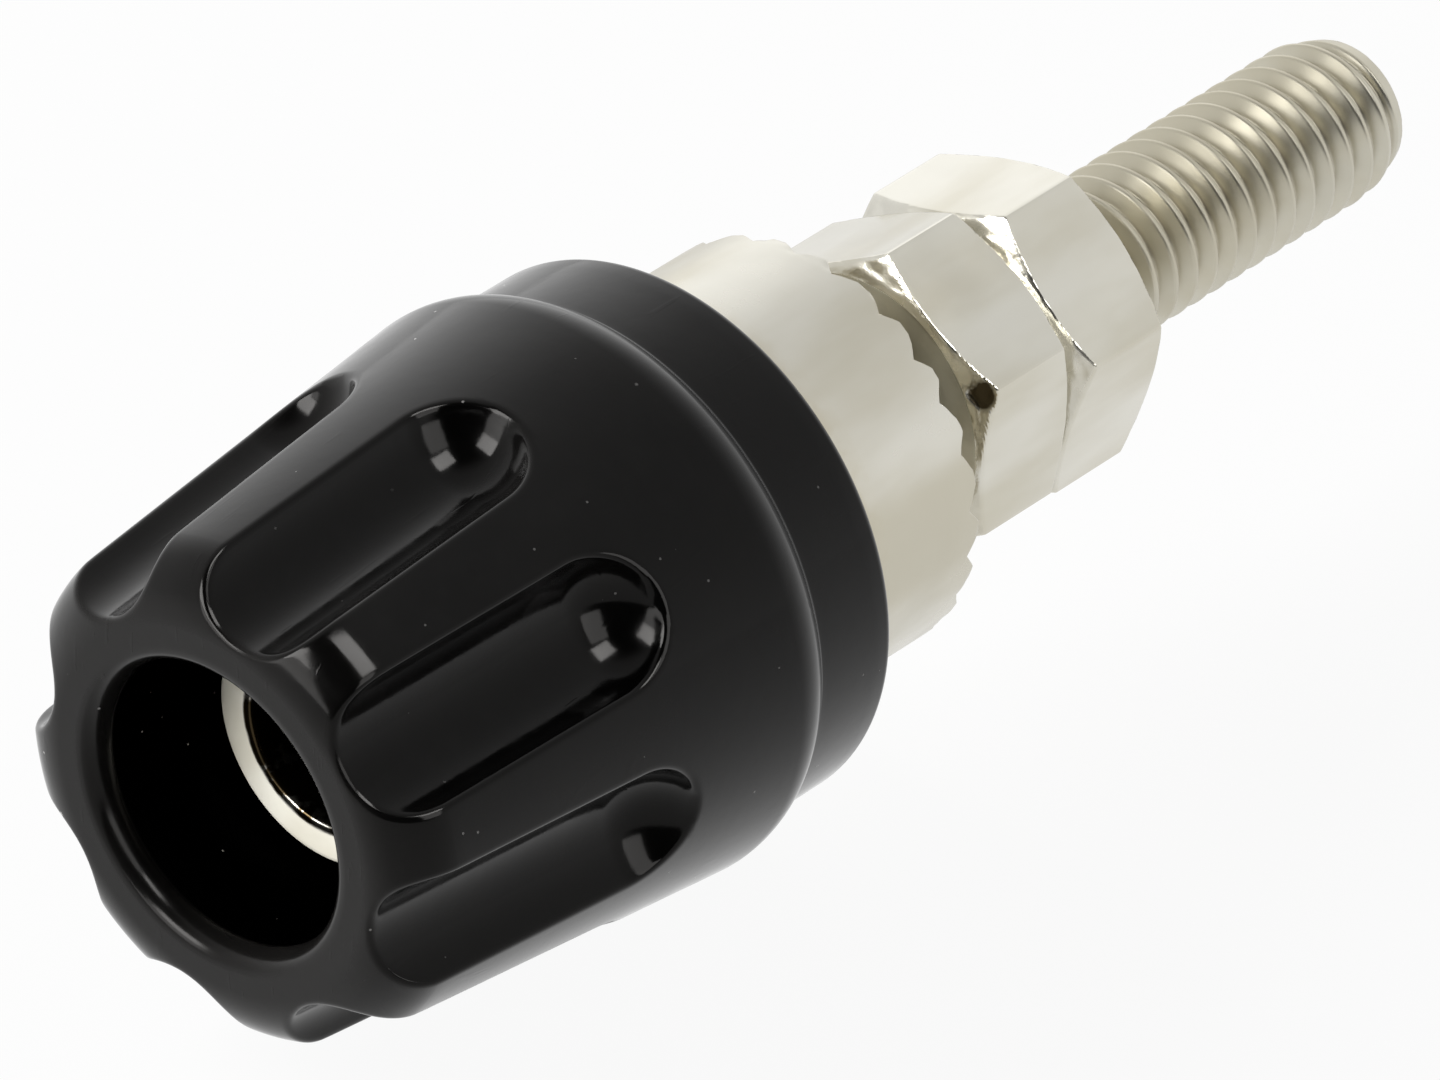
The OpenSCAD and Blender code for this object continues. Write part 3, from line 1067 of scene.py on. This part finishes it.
@dataclass
class ToothedCollar:
    """The plain collar with a rim of worn V teeth that bite into the panel."""

    outer_r: float = 4.98
    front_y: float = -5.75
    chamfer: float = 0.2
    chamfer_hold: float = 0.5
    teeth: int = 25
    tooth_turn: float = 5.75
    tooth_depth: float = 0.32
    tooth_shares: Span = (0.75, 1.0)
    tooth_lean: float = 0.1
    tooth_seed: int = 11
    tip_share: float = 0.26
    rim_width: float = 0.6
    rim_from: float = -0.75
    rim_round: float = 0.03
    least_rim: float = 0.06
    relief: float = 0.5
    relief_hold: float = 0.05
    hidden_r: float = 2.25
    hidden_to: float = -1.9
    core_r: float = 1.2
    core_to: float = -1.6
    wear: float = 0.012
    rim_waves: Waves = Waves(seed=3, count=24, finest=70)
    wall_waves: Waves = Waves(seed=8, count=20, finest=60)
    columns_per_tooth: int = 16
    crease: float = 28.0
    within_fade: Span = (-0.01, -0.12)
    rim_fade: Span = (-0.62, -0.2)
    deep_fade: Span = (-0.75, -0.45)
    # Painted shadow: where the cap's shadow lies on the collar, from none to full.
    cap_shadow_fade: Span = (2.9, 1.3)
    rim_torn: float = 0.05
    grime: float = 0.7
    # Its brown stain colour tints the hollow and also paints the cap's shadow.
    finish: SatinNickel = SatinNickel(
        "nickel_collar", stain_and_shade=(0.43, 0.36, 0.2), turning_marks=0.12, rough=(0.26, 0.36)
    )

    def rim(self) -> tuple[np.ndarray, np.ndarray]:
        """Angles of the columns and how far the rim is cut back at each.

        Formula: a V that is deepest on the middle column of each notch and 0 on the tips, its
        depth and the lean of its flanks drawn anew for each notch, with a fine wear on top.

        Returns:
            Angles, and depths in mm.
        """
        draw = np.random.default_rng(self.tooth_seed)
        share = np.arange(self.teeth * self.columns_per_tooth) / self.columns_per_tooth
        notch = np.floor(share + 0.5).astype(int)
        off = share - notch
        lean = draw.uniform(-self.tooth_lean, self.tooth_lean, self.teeth)[notch % self.teeth]
        deep = draw.uniform(*self.tooth_shares, self.teeth)[notch % self.teeth]
        place_on_rim = notch + off + lean * (1.0 - 2.0 * np.abs(off))
        a = math.radians(self.tooth_turn) + TURN * place_on_rim / self.teeth
        flank = 1.0 - np.abs(off) / (0.5 - 0.5 * self.tip_share)
        cut = self.tooth_depth * deep * np.clip(flank, 0.0, 1.0)
        wear = self.wear * (1.0 + self.rim_waves.at(a, np.zeros_like(a)))
        return a, np.clip(cut + wear, 0.0, self.relief - self.least_rim)

    def build(self) -> Piece:
        """Builds the collar as one closed ring of rows.

        Formula: a plain profile carried around the axis, whose rear rows follow the rim's
        height at each angle.

        Returns:
            The piece.
        """
        a, drop = self.rim()
        edge_r, front_y, soft = self.outer_r - self.chamfer, self.front_y, self.rim_round
        front = np.vstack([
            line((self.hidden_r, front_y), (edge_r, front_y), 4),
            arc(edge_r, front_y + self.chamfer, self.chamfer, -80.0, 0.0, 6),
            line((self.outer_r, front_y + self.chamfer_hold), (self.outer_r, self.rim_from), 14),
        ])
        rim_y = -drop[None, :]
        climb = np.linspace(0.1, 1.0, 10)[:, None]
        outer_y = self.rim_from + climb * (rim_y - soft - self.rim_from)
        wall_r = self.outer_r + self.wear * self.wall_waves.at(a, outer_y) * climb**4
        crown = np.linspace(0.0, 1.0, 5)[:, None]
        crown_r = self.outer_r - soft + crown * (2.0 * soft - self.rim_width)
        fall = np.linspace(0.1, 1.0, 4)[:, None]
        inner_y = rim_y - soft + fall * (-self.relief - rim_y + soft)
        inner_r = self.outer_r - self.rim_width
        floor = np.vstack([
            line((inner_r - self.relief_hold, -self.relief), (self.core_r, -self.relief), 4),
            line((self.core_r, -self.relief - EDGE_GAP), (self.core_r, self.core_to), 2),
            line((self.hidden_r, self.hidden_to), (self.hidden_r, front_y + EDGE_GAP), 2),
        ])
        rows = np.concatenate([
            turned(front, a),
            around_axis(np.minimum(wall_r, self.outer_r), outer_y, a),
            around_axis(crown_r, rim_y, a),
            around_axis(np.full((1, 1), inner_r), inner_y, a),
            turned(floor, a),
        ])
        piece = surface("toothed_collar", rows, Ends.RING, self.crease)
        self.dress(piece, rows)
        place(piece, Body.POST, "panel_collar", self.finish.material())
        return piece

    def dress(self, piece: Piece, rows: np.ndarray) -> None:
        """Marks the torn hollow inside the rim, tinted brown, and a painted shadow of the cap on the collar
        next to it.

        Args:
            piece: The collar.
            rows: Its points.
        """
        y, radius = rows[..., 1], np.hypot(rows[..., 0], rows[..., 2])
        hollow = ease(radius, self.outer_r, self.within_fade) * ease(y, 0.0, self.deep_fade)
        teeth = ease(y, 0.0, self.rim_fade)
        painted_cap_shadow = ease(y, self.front_y, self.cap_shadow_fade)
        paint(piece, "worked", np.clip(hollow + self.rim_torn * teeth, 0.0, 1.0))
        # The same share tints the hollow and paints the cap's shadow on the collar.
        paint(piece, "dirt_and_painted_shade", np.clip(self.grime * hollow + self.grime * painted_cap_shadow, 0.0, 1.0))


@dataclass
class ThreadedStud:
    """The stud with its thread and tapered end."""

    start_y: float = -0.9
    end_y: float = 19.05
    end_hold: float = 0.05
    outer_r: float = 1.99
    end_r: float = 1.65
    end_edge: tuple[Span, Span] = ((0.03, 0.012), (0.1, 0.0))
    end_inset: float = 0.3
    taper_length: float = 1.0
    taper_blend: float = 0.08
    thread: ThreadForm = ThreadForm(pitch=0.7, depth=0.36, crest=0.14, root=0.14, corner=0.06)
    columns: int = 72
    rows_per_pitch: int = 24
    crease: float = 40.0
    # Painted shade in the thread roots: its share, and where on the thread it starts and becomes full.
    root_painted_shade: float = 0.3
    root_shade_fade: Span = (0.7, 1.0)
    finish: SatinNickel = SatinNickel(
        "nickel_stud", pale=(0.6, 0.58, 0.5), warm=(0.54, 0.505, 0.4), rough=(0.3, 0.42), turning_marks=0.03
    )

    def build(self) -> Piece:
        """Builds the stud from its hidden foot to its end face.

        Formula: the rows follow the thread, y = pitch * (row / rows a pitch - a / turn), held
        between both ends; r = rounded minimum of the end's taper and the outer radius - depth *
        section(row / rows a pitch). A crest runs back as the angle falls, which is right-hand.

        Returns:
            The piece.
        """
        a = angles(self.columns)
        pitch, stop_y = self.thread.pitch, self.end_y - self.end_hold
        first = math.floor(self.start_y / pitch)
        last = math.ceil(self.end_y / pitch) + 1
        turns = (np.arange((last - first) * self.rows_per_pitch) / self.rows_per_pitch + first)[:, None]
        y = np.clip(pitch * (turns - a / TURN), self.start_y, stop_y)
        section = self.thread.cut(turns)
        slope = (self.outer_r - self.end_r) / self.taper_length
        taper = self.end_r + slope * (self.end_y - y)
        r = smooth_min(self.outer_r - self.thread.depth * section, taper, self.taper_blend)
        held = (y <= self.start_y) | (y >= stop_y)
        r = np.where(held, self.end_r, r)
        edge = [(self.end_r - inward, self.end_y - back) for inward, back in self.end_edge]
        end = np.vstack([
            line(*edge, 2),
            line((self.end_r - self.end_inset, self.end_y), (POLE_R, self.end_y), 3),
        ])
        rows = np.concatenate([around_axis(r, y, a), turned(end, a)])
        climb = np.where(np.arange(len(rows)) < len(turns), self.rows_per_pitch, 0)
        piece = surface("threaded_stud", rows, Ends.POLES, self.crease, climb)
        # Painted shade: the roots of the thread are darkened.
        grime = np.broadcast_to(self.root_painted_shade * ease(section, 0.0, self.root_shade_fade), r.shape)
        paint(piece, "dirt_and_painted_shade", np.vstack([grime, np.zeros((len(end), len(a)))]))
        weld(piece, self.crease)
        place(piece, Body.POST, "fixing_stud", self.finish.material())
        return piece


@dataclass
class HexNut:
    """A hexagon nut with chamfered corners, a countersunk hole and torn chamfers."""

    name: str
    body: Body
    front_y: float
    turn: float
    tears: Waves
    across_flats: float = 6.8
    sides: int = 6
    thick: float = 3.05
    face_r: float = 3.23
    face_hold: float = 0.06
    chamfer: float = 30.0
    chamfer_blend: float = 0.04
    chamfer_zone: float = 0.56
    bore_r: float = 2.02
    sink_r: float = 2.25
    corner_blend: float = 0.05
    pit_at: float = 0.2
    pit_size: float = 0.0
    pit_depth: float = 0.1
    tear_height: float = 0.014
    tear_stretch: float = 3.0
    columns_per_side: int = 32
    gather: float = 0.62
    fine_rows: int = 26
    plain_rows: int = 10
    crease: float = 24.0
    worked_fade: Span = (0.03, 0.09)
    grime: float = 0.12
    # Painted shade in the pit on the chamfer.
    pit_painted_shade: float = 3.0
    worked_matt: float = 0.05
    face_matt: float = 0.2

    def side(self) -> float:
        """Angle that one side takes."""
        return TURN / self.sides

    def columns(self) -> np.ndarray:
        """Angles of the columns, gathered at the corners.

        Formula: even shares of a side, less gather * sin(turn * share) / turn.

        Returns:
            The angles.
        """
        share = np.arange(self.columns_per_side) / self.columns_per_side
        eased = share - self.gather * np.sin(TURN * share) / TURN
        starts = math.radians(self.turn) + self.side() * np.arange(self.sides)
        return (starts[:, None] + self.side() * eased[None, :]).ravel()

    def hexagon(self, a: np.ndarray) -> np.ndarray:
        """Radius of the hexagon at each angle, with its corners rounded.

        Formula: half the width across flats over the cosine of the angle from the flat's
        middle, as a rounded minimum of the two flats that are nearest.

        Args:
            a: Angles of the columns.

        Returns:
            Radii in mm.
        """
        off = (a - math.radians(self.turn)) / self.side()
        off = (off - np.floor(off) - 0.5) * self.side()
        near = 0.5 * self.across_flats / np.cos(off)
        other = 0.5 * self.across_flats / np.cos(self.side() - np.abs(off))
        return smooth_min(near, other, self.corner_blend)

    def pit(self, a: np.ndarray, depth: np.ndarray) -> np.ndarray:
        """Share of a pit on the front chamfer of the first corner.

        Formula: a bell, exp(-d^4), of the distance d from the pit's middle over its size.

        Args:
            a: Angles of the columns.
            depth: Distances from the front face.

        Returns:
            Values from 0 to 1, all 0 where the pit has no size.
        """
        if self.pit_size == 0.0:
            return np.zeros(np.broadcast_shapes(a.shape, depth.shape))
        swing = (a - math.radians(self.turn) + math.pi) % TURN - math.pi
        along = (depth - self.pit_at) / math.sin(math.radians(self.chamfer))
        return np.exp(-(((swing * self.face_r) ** 2 + along**2) / self.pit_size**2) ** 2)

    def build(self, finish: bpy.types.Material) -> Piece:
        """Builds the nut as one closed ring of rows.

        Formula: r = rounded minimum of the hexagon and the two chamfer cones, face radius +
        distance from the face / tan(chamfer angle), with a torn edge drawn on the cones.

        Args:
            finish: The nut's material.

        Returns:
            The piece.
        """
        a = self.columns()
        fine = np.linspace(0.0, self.chamfer_zone, self.fine_rows)
        plain = np.linspace(self.chamfer_zone, self.thick - self.chamfer_zone, self.plain_rows)[1:-1]
        depth = np.concatenate([fine, plain, self.thick - fine[::-1]])[:, None]
        grow = 1.0 / math.tan(math.radians(self.chamfer))
        torn = self.tear_height * self.tears.at(a, depth * self.tear_stretch)
        front = self.face_r + (depth + 0.5 * torn) * grow
        rear = self.face_r + (self.thick - depth + 0.5 * torn) * grow
        cone = np.maximum(np.minimum(front, rear), self.face_r)
        hexagon, pit = self.hexagon(a), self.pit(a, depth)
        r = smooth_min(np.broadcast_to(hexagon, cone.shape), cone, self.chamfer_blend)
        r = r - self.pit_depth * pit
        sink, rim_r = self.sink_r - self.bore_r, self.face_r - self.face_hold
        hole = np.vstack([
            line((rim_r, self.thick), (self.sink_r, self.thick), 4),
            line((self.bore_r, self.thick - sink), (self.bore_r, sink), 3),
            line((self.sink_r, 0.0), (rim_r, 0.0), 4),
        ])
        rows = np.concatenate([around_axis(r, depth, a), turned(hole, a)])
        rows[..., 1] += self.front_y
        piece = surface(self.name, rows, Ends.RING, self.crease)
        self.dress(piece, ease(hexagon - r, 0.0, self.worked_fade), pit, len(hole))
        place(piece, self.body, self.body.value, finish)
        return piece

    def dress(self, piece: Piece, worked: np.ndarray, pit: np.ndarray, hole_rows: int) -> None:
        """Marks the torn chamfers, the pit with painted shade, and the matt faces and hole.

        Args:
            piece: The nut.
            worked: Share of torn metal on the rows outside.
            pit: Share of the pit on the same rows.
            hole_rows: Number of the rows that follow, over both faces and through the hole.
        """
        flat = np.zeros((hole_rows, worked.shape[1]))
        # Real stains on the chamfers, and painted shade in the pit.
        stained_and_shaded = np.maximum(self.grime * worked, self.pit_painted_shade * pit)
        paint(piece, "worked", np.vstack([worked, flat]))
        paint(piece, "dirt_and_painted_shade", np.vstack([stained_and_shaded, flat + self.grime]))
        paint(piece, "matt", np.vstack([self.worked_matt * worked, flat + self.face_matt]))


def direction(azimuth: float, elevation: float) -> Vector:
    """The direction (sin az cos el, -cos az cos el, sin el) of two angles in degrees."""
    az, el = math.radians(azimuth), math.radians(elevation)
    return Vector((math.sin(az) * math.cos(el), -math.cos(az) * math.cos(el), math.sin(el)))


class Rays(Enum):
    """What a lamp does: it lights surfaces, or it shows in reflections."""

    SURFACES = "surfaces"
    REFLECTIONS = "reflections"


class Group(Enum):
    """The pieces that a lamp shows on."""

    ALL = "all"
    GLOSSY = "glossy"
    SATIN = "satin"
    SOCKET = "socket"


@dataclass(frozen=True)
class Softbox:
    """One soft lamp, aimed at the frame's origin; its sizes are in mm."""

    name: str
    azimuth: float
    elevation: float
    width: float
    height: float
    level: float
    group: Group = Group.ALL
    rays: Rays = Rays.REFLECTIONS
    distance: float = 420.0

    def build(self, groups: dict[Group, bpy.types.Collection]) -> None:
        """Hangs the lamp.

        Formula: its power is level * pi * area, so that level is its brightness next to white.

        Args:
            groups: The pieces of each group but ALL.
        """
        out = direction(self.azimuth, self.elevation)
        lamp = bpy.data.lights.new(self.name, "AREA")
        lamp.shape = "RECTANGLE"
        lamp.size, lamp.size_y = self.width * MM, self.height * MM
        lamp.energy = self.level * math.pi * self.width * self.height * MM * MM
        holder = bpy.data.objects.new(self.name, lamp)
        holder.location = out * self.distance * MM
        holder.rotation_mode = "QUATERNION"
        holder.rotation_quaternion = (-out).to_track_quat("-Z", "Y")
        holder.visible_camera = False
        holder.visible_diffuse = self.rays is Rays.SURFACES
        holder.visible_glossy = self.rays is Rays.REFLECTIONS
        holder.light_linking.receiver_collection = groups.get(self.group)
        bpy.context.scene.collection.objects.link(holder)


@dataclass(frozen=True)
class SkyPatch:
    """A round patch of the sky that fades into the rest."""

    azimuth: float
    elevation: float
    edge: Span
    level: float

    def build(self, tree: NodeTree, toward: Socket) -> Socket:
        """Adds the patch to the sky.

        Formula: smooth step of the cosine between a ray's direction and the patch's middle, from
        the angle at which the patch starts to the one at which it is full.

        Args:
            tree: The sky's node tree.
            toward: A ray's direction.

        Returns:
            The level: 1 outside the patch.
        """
        middle = tuple(direction(self.azimuth, self.elevation))
        cosine = tree.add("VectorMath", {0: toward, 1: middle}, operation="DOT_PRODUCT").outputs["Value"]
        start, full = (math.cos(math.radians(angle)) for angle in self.edge)
        return tree.ramp(cosine, start, full, 1.0, self.level)


@dataclass
class Studio:
    """Camera, pale floor, white surroundings and soft lamps."""

    camera_at: tuple[float, float, float] = (174.404, -204.748, 170.2)
    looks: tuple[float, float, float] = (-0.55011, 0.63658, -0.5405)
    lens: float = 360.35
    sensor: float = 36.0
    clip: Span = (0.01, 10.0)
    floor_z: float = -7.0
    floor_half: float = 1500.0
    floor_colour: Colour = (0.82, 0.82, 0.82)
    floor_rough: float = 0.9
    floor_glow: float = 0.94
    surround: float = 0.16
    horizon: float = 1.04
    overhead: float = 0.74
    room: SkyPatch = SkyPatch(azimuth=36.0, elevation=30.0, edge=(64.0, 38.0), level=0.05)
    window: SkyPatch = SkyPatch(azimuth=-126.0, elevation=12.0, edge=(48.0, 8.0), level=1.36)
    # Each lamp's name, azimuth, elevation, width, height, level and group.
    softboxes: tuple[Softbox, ...] = (
        Softbox("right_softbox", 88.0, 65.0, 210.0, 150.0, 15.0, Group.GLOSSY),
        Softbox("right_lower", 80.0, 30.0, 220.0, 320.0, 4.5, Group.GLOSSY),
        Softbox("left_softbox", -15.0, 34.0, 200.0, 150.0, 16.0, Group.GLOSSY),
        Softbox("left_lower", -15.0, 13.0, 200.0, 150.0, 5.0, Group.GLOSSY),
        Softbox("right_fill", 78.0, 50.0, 180.0, 300.0, 2.2, Group.SATIN),
        Softbox("left_fill", -2.0, 36.0, 200.0, 300.0, 2.6, Group.SATIN),
        Softbox("mouth_fill", -22.0, 22.0, 240.0, 240.0, 7.0, Group.SOCKET),
        Softbox("left_window", -78.0, 32.0, 420.0, 320.0, 9.0, rays=Rays.SURFACES, distance=500.0),
    )

    def build(self, groups: dict[Group, list[Piece]]) -> None:
        """Sets the camera, the floor, the world and the lamps.

        Args:
            groups: The pieces of each group of pieces that a lamp may show on.
        """
        self.set_camera()
        self.lay_floor()
        self.set_world()
        receivers = {}
        for group, pieces in groups.items():
            receivers[group] = bpy.data.collections.new(group.value)
            for piece in pieces:
                receivers[group].objects.link(piece)
        for box in self.softboxes:
            box.build(receivers)
        bpy.context.scene.view_settings.view_transform = "Standard"

    def set_camera(self) -> None:
        """Places the camera at the photograph's viewing angle."""
        data = bpy.data.cameras.new("camera")
        data.lens, data.sensor_width = self.lens, self.sensor
        data.clip_start, data.clip_end = self.clip
        camera = bpy.data.objects.new("camera", data)
        camera.location = Vector(self.camera_at) * MM
        camera.rotation_mode = "QUATERNION"
        camera.rotation_quaternion = Vector(self.looks).to_track_quat("-Z", "Y")
        bpy.context.scene.collection.objects.link(camera)
        bpy.context.scene.camera = camera

    def lay_floor(self) -> None:
        """Lays a pale floor that glows white to the camera and still takes the shadow."""
        edge = np.array([-1.0, 1.0]) * self.floor_half * MM
        x, y = np.meshgrid(edge, edge)
        corners = np.stack([x, y, np.full_like(x, self.floor_z * MM)], -1).reshape(-1, 3)
        mesh = bpy.data.meshes.new("floor")
        mesh.from_pydata(corners.tolist(), [], [(0, 1, 3, 2)])
        floor = bpy.data.objects.new("floor", mesh)
        bpy.context.scene.collection.objects.link(floor)
        shader = Shader("pale_floor")
        shader.set("Base Color", (*self.floor_colour, 1.0))
        shader.set("Roughness", self.floor_rough)
        shader.set("Specular IOR Level", 0.0)
        share = shader.math("MULTIPLY", shader.seen_directly(), self.floor_glow)
        pale, glow = shader.principled.outputs[0], shader.add("Emission").outputs[0]
        mixed = shader.add("MixShader", {0: share, 1: pale, 2: glow}).outputs[0]
        shader.put(shader.nodes["Material Output"], "Surface", mixed)
        mesh.materials.append(shader.material)

    def set_world(self) -> None:
        """Makes the surroundings white to the camera and a plain level of light on surfaces.

        Formula: in reflections the sky falls off from the horizon to overhead, times the level of
        a dark room behind the camera's place and of a bright window on the left.
        """
        world = bpy.data.worlds.new("surroundings")
        world.use_nodes = True
        tree = NodeTree(world.node_tree)
        toward = tree.add("TexCoord").outputs["Generated"]
        height = tree.add("SeparateXYZ", {0: toward}).outputs["Z"]
        mood = tree.ramp(height, 0.0, 1.0, self.horizon, self.overhead, Easing.STRAIGHT)
        for patch in (self.room, self.window):
            mood = tree.math("MULTIPLY", mood, patch.build(tree, toward))
        from_camera = tree.add("LightPath").outputs["Is Camera Ray"]
        bright = tree.add("Mix", {0: from_camera, 2: mood, 3: 1.0}).outputs[0]
        level = tree.ramp(tree.seen_directly(), 0.0, 1.0, self.surround, 1.0, Easing.STRAIGHT)
        background = tree.nodes["Background"]
        tree.put(background, "Strength", tree.math("MULTIPLY", level, bright))
        tree.put(background, "Color", (1.0, 1.0, 1.0, 1.0))
        bpy.context.scene.world = world


def main() -> None:
    """Builds the studio and each piece in order."""
    logging.basicConfig(level=logging.INFO, format="%(name)s: %(message)s")
    milled = SatinNickel(
        "nickel_nuts", stain_and_shade=(0.06, 0.048, 0.03), rough=(0.15, 0.25), turning_marks=0.03, torn=0.25
    ).material()
    barrel, cap = SocketBarrel().build(), FlutedCap().build()
    panel_nut = HexNut(
        "hex_panel_nut", Body.PANEL_NUT, front_y=1.95, turn=25.3, tears=Waves(31, 26, 30), pit_size=0.28
    ).build(milled)
    lock_nut = HexNut(
        "hex_lock_nut", Body.LOCK_NUT, front_y=5.04, turn=13.4, tears=Waves(47, 26, 30)
    ).build(milled)
    collar, stud = ToothedCollar().build(), ThreadedStud().build()
    Studio().build({
        Group.GLOSSY: [cap, barrel, panel_nut, lock_nut],
        Group.SATIN: [collar, stud],
        Group.SOCKET: [barrel],
    })
    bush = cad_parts["knob_bush"]
    bush.data.materials.clear()
    bush.data.materials.append(BareBrass().material())
    LOG.info("%s: kept from the CAD, with a new finish", bush.name)


if __name__ == "__main__":
    main()
